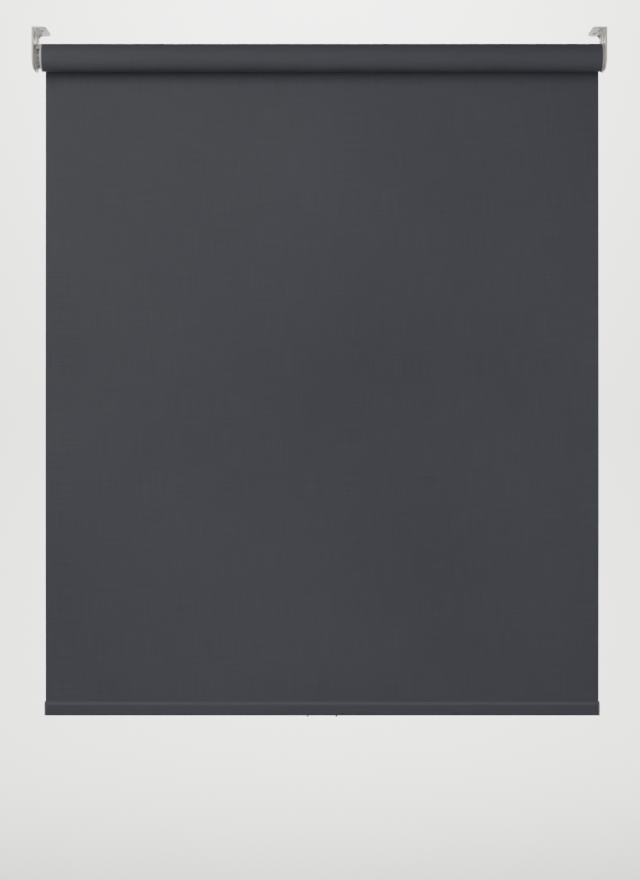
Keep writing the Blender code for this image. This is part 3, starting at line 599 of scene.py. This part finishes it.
def hanging_cloth():
    work = bmesh.new()
    bmesh.ops.create_grid(work, x_segments=COLUMNS, y_segments=ROWS, size=0.5)
    bmesh.ops.scale(work, verts=work.verts, vec=(CLOTH_WIDTH, DROP, 1))
    bmesh.ops.rotate(work, verts=work.verts, cent=(0, 0, 0),
                     matrix=Matrix.Rotation(pi / 2, 3, "X"))
    middle = ((CLOTH_LEFT + CLOTH_RIGHT) / 2, SHEET_Y, AXIS.z - DROP / 2)
    bmesh.ops.translate(work, verts=work.verts, vec=middle)
    map_cloth(work, lambda point, middle: point.z - AXIS.z)
    for vert in work.verts:
        vert.co.y += hang(vert.co)
    piece = piece_from(work, "hanging_cloth", WOVEN_POLYESTER)
    thicken(piece)
    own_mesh(piece)
    return piece


install(hanging_cloth(), "brackets", "charcoal_cloth", "fabric_sheet")

# %% [markdown]
# ## Joining, cutting and rounding
# Moulded pieces need three more moves. `pushed` extrudes a flat outline. `combine` joins shapes or
# cuts them away with exact Booleans, made final at once. `soften` rounds every sharp edge, as a
# mould does. Rounding after the Booleans matters: the edges that a cut leaves get their small
# radius too. A flat face with a hole in it is split into triangles first, and the bevel hardens its
# normals, so that the flat parts stay flat to the light.

# %% Push, combine and soften
def pushed(outline, push):
    """A flat outline of points, pushed into a solid."""
    work = bmesh.new()
    face = work.faces.new([work.verts.new(point) for point in outline])
    grown = bmesh.ops.extrude_face_region(work, geom=[face])["geom"]
    bmesh.ops.translate(work, vec=push, verts=[v for v in grown if isinstance(v, bmesh.types.BMVert)])
    return work


def combine(piece, works, operation):
    """Join shapes to a piece, or cut them away, one after another."""
    for work in works:
        tool = piece_from(work, "tool", piece.data.materials[0])
        step = piece.modifiers.new("combine", "BOOLEAN")
        step.operation = operation
        step.solver = "EXACT"
        step.object = tool
        settle(piece)
        bpy.data.objects.remove(tool)


def soften(piece, radius, segments=2):
    """Round every sharp edge, and keep the flat faces flat to the light."""
    split = piece.modifiers.new("split", "TRIANGULATE")  # a face with holes in it would bevel badly
    split.min_vertices = 5
    settle(piece)
    rounding = piece.modifiers.new("rounding", "BEVEL")
    rounding.width = radius
    rounding.segments = segments
    rounding.limit_method = "ANGLE"
    rounding.angle_limit = CRISP
    rounding.miter_outer = "MITER_ARC"
    rounding.harden_normals = True
    settle(piece)


print("soften rounds edges that turn by more than", round(CRISP / pi * 180), "degrees")

# %% [markdown]
# ## The bar's end caps and feet
# Each cap is a thin moulded plate of the hem's own outline with a plug that grips inside the bar.
# It is pushed out of that outline and its rim is rounded. The two feet under the middle of the bar
# are turned pieces, like little mushrooms on a stem, spun about an upright line.

# %% End caps
CAP_WALL = 1.2 * MM
PLUG_REACH = 10 * MM
BAR_SHELL = 1.95 * MM  # from the hem's outside to the inside of the bar


def bar_cap(name, side, node):
    low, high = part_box(node)
    plate = high.x - CAP_WALL if side > 0 else low.x + CAP_WALL
    full = oval(HEM_SIZE.z, HEM_SIZE.y, 0, tau, 97)[:-1]
    work = pushed([(plate, y, z) for y, z in full], (side * CAP_WALL, 0, 0))
    piece = piece_from(work, name, CHARCOAL_NYLON)
    inset = 2 * (BAR_SHELL + GAP)
    grip = oval(HEM_SIZE.z - inset, HEM_SIZE.y - inset, 0, tau, 65)[:-1]
    start = plate + side * CAP_WALL / 2
    plug = pushed([(start, y, z) for y, z in grip], (-side * PLUG_REACH, 0, 0))
    combine(piece, [plug], "UNION")
    soften(piece, 0.35 * MM, 3)
    install(piece, "hem", "charcoal_plastic", node)


# %% Feet
SOLE = 1.4 * MM  # height of a foot's wide part


def bar_foot(name, node):
    low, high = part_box(node)
    middle = (low + high) / 2
    wide = (high.x - low.x) / 2
    stem = wide * 0.6
    sole = low.z + SOLE
    outline = [(0, high.z), (stem, high.z), (stem, sole), (wide, sole), (wide, sole - 0.5 * MM),
               (wide * 0.9, sole - 0.9 * MM), (wide * 0.6, low.z), (0, low.z)]
    work = bmesh.new()
    points = [work.verts.new((middle.x + radius, middle.y, z)) for radius, z in outline]
    sides = [work.edges.new(pair) for pair in zip(points, points[1:])]
    bmesh.ops.spin(work, geom=points + sides, axis=(0, 0, 1), cent=middle, angle=tau, steps=32,
                   use_merge=True)
    piece = piece_from(work, name, CHARCOAL_NYLON)
    soften(piece, 0.12 * MM)
    install(piece, "hem", "charcoal_plastic", node)


for side, word in ((-1, "left"), (1, "right")):
    bar_cap(f"end_cap_{word}", side, f"bar_cap_{word}")
    bar_foot(f"foot_{word}", f"bar_foot_{word}")

# %% [markdown]
# ## The brackets
# Each bracket is one moulding: a side plate that carries the roller, a flange that is screwed to
# the ceiling, and two webs that keep them square. The same mould serves both ends, turned half
# round, and only an insert changes the socket: square for the still shaft of the clutch, round for
# the sprung pin. An L is pushed through the depth and its big corners are bevelled into arcs.

# %% The L of a bracket
PLATE = 2.5 * MM
FLANGE = 2.5 * MM
PLATE_CORNER = 19 * MM
FLANGE_CORNER = 9 * MM
INSIDE_CORNER = 1.2 * MM
OUTSIDE = BRACKET_LOW.x
DEPTH = BRACKET_HIGH.y - BRACKET_LOW.y
CLOSE = 0.01 * MM  # places nearer than this are taken as the same


def along_y(edge):
    """Whether an edge runs along Y."""
    across = edge.verts[0].co - edge.verts[1].co
    return abs(across.x) < CLOSE and abs(across.z) < CLOSE


def lies_at(edge, axis, place):
    """Whether both ends of an edge lie at a place on one axis."""
    return all(abs(vert.co[axis] - place) < CLOSE for vert in edge.verts)


def round_off(work, chosen, radius, segments):
    """Bevel the chosen edges into arcs."""
    bmesh.ops.bevel(work, geom=[edge for edge in work.edges if chosen(edge)], offset=radius,
                    segments=segments, profile=0.5, affect="EDGES", material=-1)


def l_shape():
    inner, bottom = BRACKET_HIGH.x, BRACKET_LOW.z
    corners = ((OUTSIDE, 0), (OUTSIDE, bottom), (OUTSIDE + PLATE, bottom), (OUTSIDE + PLATE, -FLANGE),
               (inner, -FLANGE), (inner, 0))
    work = pushed([(x, BRACKET_LOW.y, z) for x, z in corners], (0, DEPTH, 0))
    round_off(work, lambda edge: lies_at(edge, 2, bottom) and not along_y(edge), PLATE_CORNER, 24)
    round_off(work, lambda edge: lies_at(edge, 0, inner) and not along_y(edge), FLANGE_CORNER, 14)
    round_off(work, lambda edge: lies_at(edge, 0, OUTSIDE + PLATE) and lies_at(edge, 2, -FLANGE)
              and along_y(edge), INSIDE_CORNER, 6)
    return work


print(f"bracket {-BRACKET_LOW.z / MM:.0f} mm high and {DEPTH / MM:.0f} mm deep")

# %% [markdown]
# ## Webs, rims, holes and slots
# Webs stiffen the corner of the L, and raised rims stiffen the wall where screws pull on it. Each
# is joined on and each hole is cut through. The slots in the side plate are slanted, so that one
# screw can be slid tight in any direction. They are drawn as an outline with two half circles and
# pushed through the wall.

# %% Webs and slots
SLOT_WIDTH, SLOT_LENGTH = 4.4 * MM, 10 * MM
SLOT_ACROSS, SLOT_BELOW = 12 * MM, 12.5 * MM
RIM = 1.2 * MM  # wall of the raised rims round holes and slots
PROUD = 0.5 * MM  # and how far they stand out
DIP = 0.5 * MM  # how deep one shape goes into another before they are joined


def web(middle):
    """A triangular web in the inside corner of the L."""
    leg, wall = 5 * MM, 2 * MM
    x, z, y = OUTSIDE + PLATE - DIP, -FLANGE + DIP, middle - wall / 2
    return pushed([(x, y, z), (x, y, z - leg - DIP), (x + leg + DIP, y, z)], (0, wall, 0))


def slot(side, grow, left, right):
    """A slanted slot, or the raised rim round it, with round ends."""
    radius = SLOT_WIDTH / 2 + grow
    reach = (SLOT_LENGTH - SLOT_WIDTH) / 2
    tilt = Matrix.Rotation(radians(45), 3, "X")
    place = Vector((0, side * SLOT_ACROSS, -SLOT_BELOW))
    outline = []
    for end, first in ((1, -pi / 2), (-1, pi / 2)):
        for i in range(17):
            turn = first + pi * i / 16
            point = Vector((0, end * reach + radius * cos(turn), radius * sin(turn)))
            outline.append(place + tilt @ point)
    return pushed([point + Vector((left, 0, 0)) for point in outline], (right - left, 0, 0))


print(f"slots {SLOT_WIDTH / MM:.1f} x {SLOT_LENGTH / MM:.0f} mm")

# %% Make a bracket
FLANGE_HOLES = ((-8 * MM, 12.6 * MM, 2.2 * MM), (7 * MM, 8.8 * MM, 1.3 * MM),
                (19 * MM, 5.6 * MM, 2.2 * MM))  # (Y, distance from the outer face, radius)


def rod(start, end, radius, end_radius=None, steps=48):
    """A round bar or a cone between two points."""
    start, end = Vector(start), Vector(end)
    turn = (end - start).to_track_quat("Z", "Y").to_matrix().to_4x4()
    work = bmesh.new()
    bmesh.ops.create_cone(work, cap_ends=True, segments=steps, radius1=radius,
                          radius2=radius if end_radius is None else end_radius,
                          depth=(end - start).length,
                          matrix=Matrix.Translation((start + end) / 2) @ turn)
    return work


def bracket(name, node, turn, socket):
    """One bracket with its socket cut, turned about the upright through the middle of the blind."""
    inner_face = OUTSIDE + PLATE
    piece = piece_from(l_shape(), name, WARM_WHITE_ABS)
    edge = DEPTH / 2 - 3 * MM
    joined = [web(-edge), web(edge)]
    cuts = []
    for y, away, radius in FLANGE_HOLES:
        x = OUTSIDE + away
        joined.append(rod((x, y, -FLANGE + DIP), (x, y, -FLANGE - PROUD), radius + RIM))
        cuts.append(rod((x, y, -2 * FLANGE), (x, y, DIP), radius))
        countersink = (x, y, -FLANGE - 1.2 * PROUD), (x, y, -FLANGE + 0.4 * MM)
        cuts.append(rod(*countersink, radius + 0.7 * RIM, radius))
    for side in (-1, 1):
        joined.append(slot(side, RIM, inner_face - DIP, inner_face + PROUD))
        cuts.append(slot(side, 0, OUTSIDE - DIP, inner_face + 2 * PROUD))
    combine(piece, joined, "UNION")
    combine(piece, cuts + [socket], "DIFFERENCE")
    soften(piece, 0.3 * MM)
    piece.data.transform(Matrix.Rotation(turn, 4, "Z"))
    install(piece, "brackets", "white_plastic", node)


print(len(FLANGE_HOLES), "holes in each flange")

# %% The two brackets
CORE_HALF = 5.3 * MM  # half of the square socket
PIN_SOCKET_R = 3.3 * MM


def block(low, high):
    """A box between two corners."""
    low, high = Vector(low), Vector(high)
    work = bmesh.new()
    bmesh.ops.create_cube(work, size=1)
    bmesh.ops.scale(work, verts=work.verts, vec=high - low)
    bmesh.ops.translate(work, verts=work.verts, vec=(low + high) / 2)
    return work


SQUARE_SOCKET = block((OUTSIDE - DIP, -CORE_HALF, AXIS.z - CORE_HALF),
                      (OUTSIDE + PLATE + DIP, CORE_HALF, AXIS.z + CORE_HALF))
ROUND_SOCKET = rod((OUTSIDE - DIP, 0, AXIS.z), (OUTSIDE + PLATE + DIP, 0, AXIS.z), PIN_SOCKET_R)
bracket("drive_bracket", "control_bracket", 0, SQUARE_SOCKET)
bracket("pin_bracket", "idle_bracket", pi, ROUND_SOCKET)

# %% [markdown]
# ## The guard
# What shows at the drive end is a stack of round edges. The outermost is the guard: a disc beside
# the bracket with a hood that reaches over the top of the chain wheel and keeps the chain on it.
# The disc is turned and the hood is a part of a ring, so `sector` spins a small rectangle part of
# the way.

# %% Guard
HOOD_WALL = 1 * MM
HOOD_HALF_TURN = radians(58)
GUARD_WALL = 1.7 * MM
CORE_R = 6 * MM


def sector(left, right, inner, outer, middle, half_turn, steps=48):
    """Part of a ring about the roller's axis. Angles run from +Z towards -Y."""
    work = bmesh.new()
    corners = ((left, inner), (right, inner), (right, outer), (left, outer))
    face = work.faces.new([work.verts.new((x, 0, AXIS.z + radius)) for x, radius in corners])
    bmesh.ops.rotate(work, verts=work.verts, cent=AXIS,
                     matrix=Matrix.Rotation(middle - half_turn, 3, "X"))
    bmesh.ops.spin(work, geom=[face, *face.edges, *face.verts], axis=(1, 0, 0), cent=AXIS,
                   angle=2 * half_turn, steps=steps, use_merge=False)
    return work


def guard():
    left, edge = GUARD_LOW.x, GUARD_HIGH.y
    right = left + GUARD_WALL
    disc = turned([(left, CORE_R), (left, edge), (right, edge), (right, CORE_R)], 128)
    piece = piece_from(disc, "wheel_guard", WARM_WHITE_ABS)
    hood = sector(right - DIP, GUARD_HIGH.x, edge - GAP - HOOD_WALL, edge - GAP, 0, HOOD_HALF_TURN)
    square = block((left - DIP, -CORE_HALF, AXIS.z - CORE_HALF),
                   (right + DIP, CORE_HALF, AXIS.z + CORE_HALF))
    combine(piece, [hood], "UNION")
    combine(piece, [square], "DIFFERENCE")
    soften(piece, 0.3 * MM, 3)
    install(piece, "brackets", "white_plastic", "chain_guard")


guard()

# %% [markdown]
# ## The chain wheel
# The wheel has a pocket for every bead. The pockets are spheres cut out of the rim, since that is
# how beads seat, and the groove between them clears the links. The pitch of 6 mm and the 4.5 mm
# beads give sixteen pockets on this wheel. Its sleeve runs on into the hub and ends in a tongue
# that pushes the clutch springs.

# %% Chain wheel
POCKETS = 16
BEAD_PITCH, BEAD_R = 6 * MM, 2.25 * MM
PITCH_R = POCKETS * BEAD_PITCH / tau
GROOVE_HALF, GROOVE_DEEP = 0.8 * MM, 1.5 * MM
TONGUE_HALF_TURN = radians(32)


def chain_wheel():
    left, edge = WHEEL_LOW.x, WHEEL_HIGH.y
    right = left + 2 * (BEAD_R + 0.5 * MM)
    middle = (left + right) / 2
    bore = CORE_R + GAP
    sleeve = bore + 2 * MM
    web_left = left + 1.5 * MM
    web_right = web_left + 2 * MM
    rim = PITCH_R - BEAD_R - 0.35 * MM
    floor = edge - GROOVE_DEEP
    sleeve_right = right + GAP + 8.5 * MM
    near, far = middle - GROOVE_HALF, middle + GROOVE_HALF
    outline = [(web_left, bore), (web_left, rim), (left, rim), (left, edge),
               (near, edge), (near, floor), (far, floor), (far, edge),
               (right, edge), (right, rim), (web_right, rim),
               (web_right, sleeve), (sleeve_right, sleeve), (sleeve_right, bore)]
    piece = piece_from(turned(outline, 120), "bead_wheel", GREY_ACETAL)
    beads = []
    for i in range(POCKETS):
        angle = tau * (i + 0.5) / POCKETS
        work = bmesh.new()
        centre = AXIS + Vector((middle, -PITCH_R * sin(angle), PITCH_R * cos(angle)))
        bmesh.ops.create_uvsphere(work, u_segments=20, v_segments=12, radius=BEAD_R,
                                  matrix=Matrix.Translation(centre))
        beads.append(work)
    combine(piece, beads, "DIFFERENCE")
    tongue_left, tongue_top = sleeve_right - 3 * MM, bore + 3.3 * MM
    tongue = sector(tongue_left, WHEEL_HIGH.x, bore + 1.9 * MM, tongue_top, 0, TONGUE_HALF_TURN, 24)
    combine(piece, [tongue], "UNION")
    soften(piece, 0.2 * MM)
    install(piece, "chain_wheel", "white_plastic", "chain_sprocket")


chain_wheel()

# %% [markdown]
# ## The hub
# The hub is the driven sleeve. Its thin flange closes the roll and keeps the cloth from creeping
# sideways, and six splines drive the ring inside the tube. It is turned from one outline, and the
# splines and the tongue that the springs push are parts of rings joined on.

# %% Hub
FLANGE_WALL = 1.6 * MM
END_WALL = 3 * MM
SPLINES, SPLINE_HEIGHT, SPLINE_HALF_TURN = 6, 1.1 * MM, radians(7)


def drive_hub():
    left, edge = HUB_LOW.x, HUB_HIGH.y
    right, end = left + FLANGE_WALL, HUB_HIGH.x
    bore, outer = 11.5 * MM, 14.4 * MM
    outline = [(left, bore), (left, edge), (right, edge), (right, outer), (end, outer),
               (end, CORE_R + GAP), (end - END_WALL, CORE_R + GAP), (end - END_WALL, bore)]
    piece = piece_from(turned(outline, 128), "flanged_hub", PALE_ACETAL)
    splines = [sector(right - DIP, end - GAP, outer - DIP, outer + SPLINE_HEIGHT,
                      tau * (i + 0.5) / SPLINES, SPLINE_HALF_TURN, 8) for i in range(SPLINES)]
    combine(piece, splines, "UNION")
    tongue_left, tongue_right, tongue_top = right + 7.5 * MM, end - 2.5 * MM, bore - 1.8 * MM
    tongue = sector(tongue_left, tongue_right, tongue_top, bore + DIP, pi, TONGUE_HALF_TURN, 24)
    combine(piece, [tongue], "UNION")
    soften(piece, 0.25 * MM)
    install(piece, "roller", "grey_plastic", "drive_hub")


drive_hub()

# %% [markdown]
# ## The idle end
# The plug in the right end of the tube shows only the rim of its flange, a fine pale line round the
# end of the roll. It is turned as one shell: flange, wall inside the tube, and the boss in the
# middle that guides the sprung pin. A slot along its top leaves room for the tube's keyway.

# %% Plug
def idle_plug():
    left, right, edge = PLUG_LOW.x, PLUG_HIGH.x, PLUG_HIGH.y
    flange_left, end = right - 1.2 * MM, right - 4.4 * MM
    seat, bore, boss, pin = 17.5 * MM, 12.8 * MM, 7 * MM, 3.3 * MM
    boss_left, boss_bore = end - 18 * MM, boss - 2 * MM
    outline = [(right, pin), (right, edge), (flange_left, edge), (flange_left, seat), (left, seat),
               (left, bore), (end, bore), (end, boss), (boss_left, boss), (boss_left, boss_bore),
               (end + GAP, boss_bore), (end + GAP, pin)]
    piece = piece_from(turned(outline, 128), "flanged_plug", PALE_ACETAL)
    slot_floor = 15.3 * MM
    keyway = sector(left - DIP, flange_left, slot_floor, seat + DIP, 0, radians(15), 16)
    combine(piece, [keyway], "DIFFERENCE")
    soften(piece, 0.25 * MM)
    install(piece, "roller", "grey_plastic", "idle_plug")


idle_plug()

# %% [markdown]
# ## The pin's spring
# A compression spring sits between the plug's cap and the pin's collar. It is one round section
# swept along a helix: a spin that also moves a little along the axis at every step. The first and
# last turns lie almost closed, as on a real spring. When the pin is pressed the spring is squashed
# towards the cap.

# %% Spring
SPRING_LOW, SPRING_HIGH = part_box("idle_spring")
WIRE_R = 0.35 * MM
SPRING_TURNS = 7
TURN_STEPS = 24


def idle_spring():
    """A round wire wound at an even pitch, with a closed turn at each end."""
    left, right = SPRING_LOW.x, SPRING_HIGH.x
    radius = SPRING_HIGH.y - WIRE_R
    closed = 2.1 * WIRE_R
    open_pitch = (right - left - 2 * WIRE_R - 2 * closed) / (SPRING_TURNS - 2)
    work = bmesh.new()
    start = Matrix.Translation((left + WIRE_R, 0, AXIS.z + radius)) @ Matrix.Rotation(pi / 2, 4, "X")
    bmesh.ops.create_circle(work, cap_ends=True, segments=12, radius=WIRE_R, matrix=start)
    wound = work.verts[:] + work.edges[:] + work.faces[:]
    for pitch, turns in ((closed, 1), (open_pitch, SPRING_TURNS - 2), (closed, 1)):
        wound = bmesh.ops.spin(work, geom=wound, axis=(1, 0, 0), cent=AXIS,
                               dvec=(pitch / TURN_STEPS, 0, 0), angle=tau * turns,
                               steps=TURN_STEPS * turns, use_merge=False)["geom_last"]
    piece = piece_from(work, "plug_spring", SPRING_STEEL)
    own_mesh(piece)
    install(piece, "roller", "spring_steel", "idle_spring")


idle_spring()

# %% [markdown]
# ## Parts that keep their shape
# What lies inside the tube is already right in the frame, so those parts only get their finish.
# Each has one material slot, and the new material simply takes its place.

# %% Dress the frame's own parts
DRESSED = {
    "clutch_core": GREY_ACETAL, "tube_adapter": GREY_ACETAL, "idle_cap": GREY_ACETAL,
    "fabric_strip": RIGID_PVC,
    "roller_tube": EXTRUDED_ALUMINIUM, "bottom_bar": EXTRUDED_ALUMINIUM,
    "core_washer": ZINC_PLATED_STEEL, "core_screw": ZINC_PLATED_STEEL, "idle_pin": ZINC_PLATED_STEEL,
    "clutch_spring_near": SPRING_STEEL, "clutch_spring_far": SPRING_STEEL,
}
for node, finish in DRESSED.items():
    dressed = frame["nodes"][node]
    dressed.data.materials.clear()
    dressed.data.materials.append(finish)
print("dressed:", ", ".join(DRESSED))

# %% [markdown]
# ## The floor
# A pale sweep of matt paper, floor and wall in one curve, keeps the background quiet. The wall
# stands far behind the blind, so that no shadow falls on it and a camera that looks at the blind
# from behind has room in front of it.

# %% Sweep
FLOOR = -1.8
FRONT, BACK, WALL_TOP = -4.0, 5.0, 4
SWEEP_R = 1.2
SWEEP_HALF = 6


def sweep():
    path = [(FRONT, FLOOR), (BACK - SWEEP_R, FLOOR)]
    path += [(BACK - SWEEP_R + SWEEP_R * sin(a), FLOOR + SWEEP_R - SWEEP_R * cos(a))
             for a in (pi / 2 * i / 16 for i in range(1, 17))]
    path.append((BACK, WALL_TOP))
    paper = new_finish("matt_backdrop_paper", {
        "Roughness": 0.9, "Specular IOR Level": 0.2, "Base Color": colour("#eeedea")})[0]
    piece = piece_from(extruded(path, -SWEEP_HALF, 2 * SWEEP_HALF), "sweep", paper)
    print(f"sweep {2 * SWEEP_HALF} m wide, {-FLOOR:.1f} m under the ceiling line")


sweep()

# %% [markdown]
# ## The light
# Three soft lamps do the work. The key hangs on the left, a little above the roller, so the left
# side comes out a little brighter and the roll shades the cloth just under it. A larger fill stands
# low, almost straight in front, and keeps the lower half and the hem from going dark. The third
# lights only the wall. A faint even glow from all round stands for the light that a room throws
# back.

# %% Lights
def soft_light(name, place, aim, size, watts, tint, spread=pi):
    """A square area light that faces a point."""
    lamp = bpy.data.lights.new(name, "AREA")
    lamp.shape = "SQUARE"
    lamp.size = size
    lamp.energy = watts
    lamp.spread = spread
    lamp.color = colour(tint)[:3]
    light = bpy.data.objects.new(name, lamp)
    light.location = place
    light.rotation_euler = (Vector(aim) - Vector(place)).to_track_quat("-Z", "Y").to_euler()
    bpy.context.scene.collection.objects.link(light)


soft_light("key", (-1.1, -1.6, 0.45), (-0.1, 0.0, -0.4), 1.0, 30, "#fffaf2")
soft_light("fill", (0.7, -3.0, -0.7), (0.0, 0.0, -0.4), 2.0, 46, "#f4f7ff")
soft_light("backdrop_light", (0, 2.2, 2.5), (0.0, 5.0, -0.3), 3.0, 420, "#ffffff", radians(120))
print("lamps:", ", ".join(f"{lamp.name} {lamp.energy:.0f} W" for lamp in bpy.data.lights))

# %% The room's own glow
world = bpy.data.worlds.new("studio")
world.use_nodes = True
glow = world.node_tree.nodes["Background"]
glow.inputs["Color"].default_value = colour("#f2f2f4")
glow.inputs["Strength"].default_value = 0.16
bpy.context.scene.world = world
print("glow", round(glow.inputs["Strength"].default_value, 2))
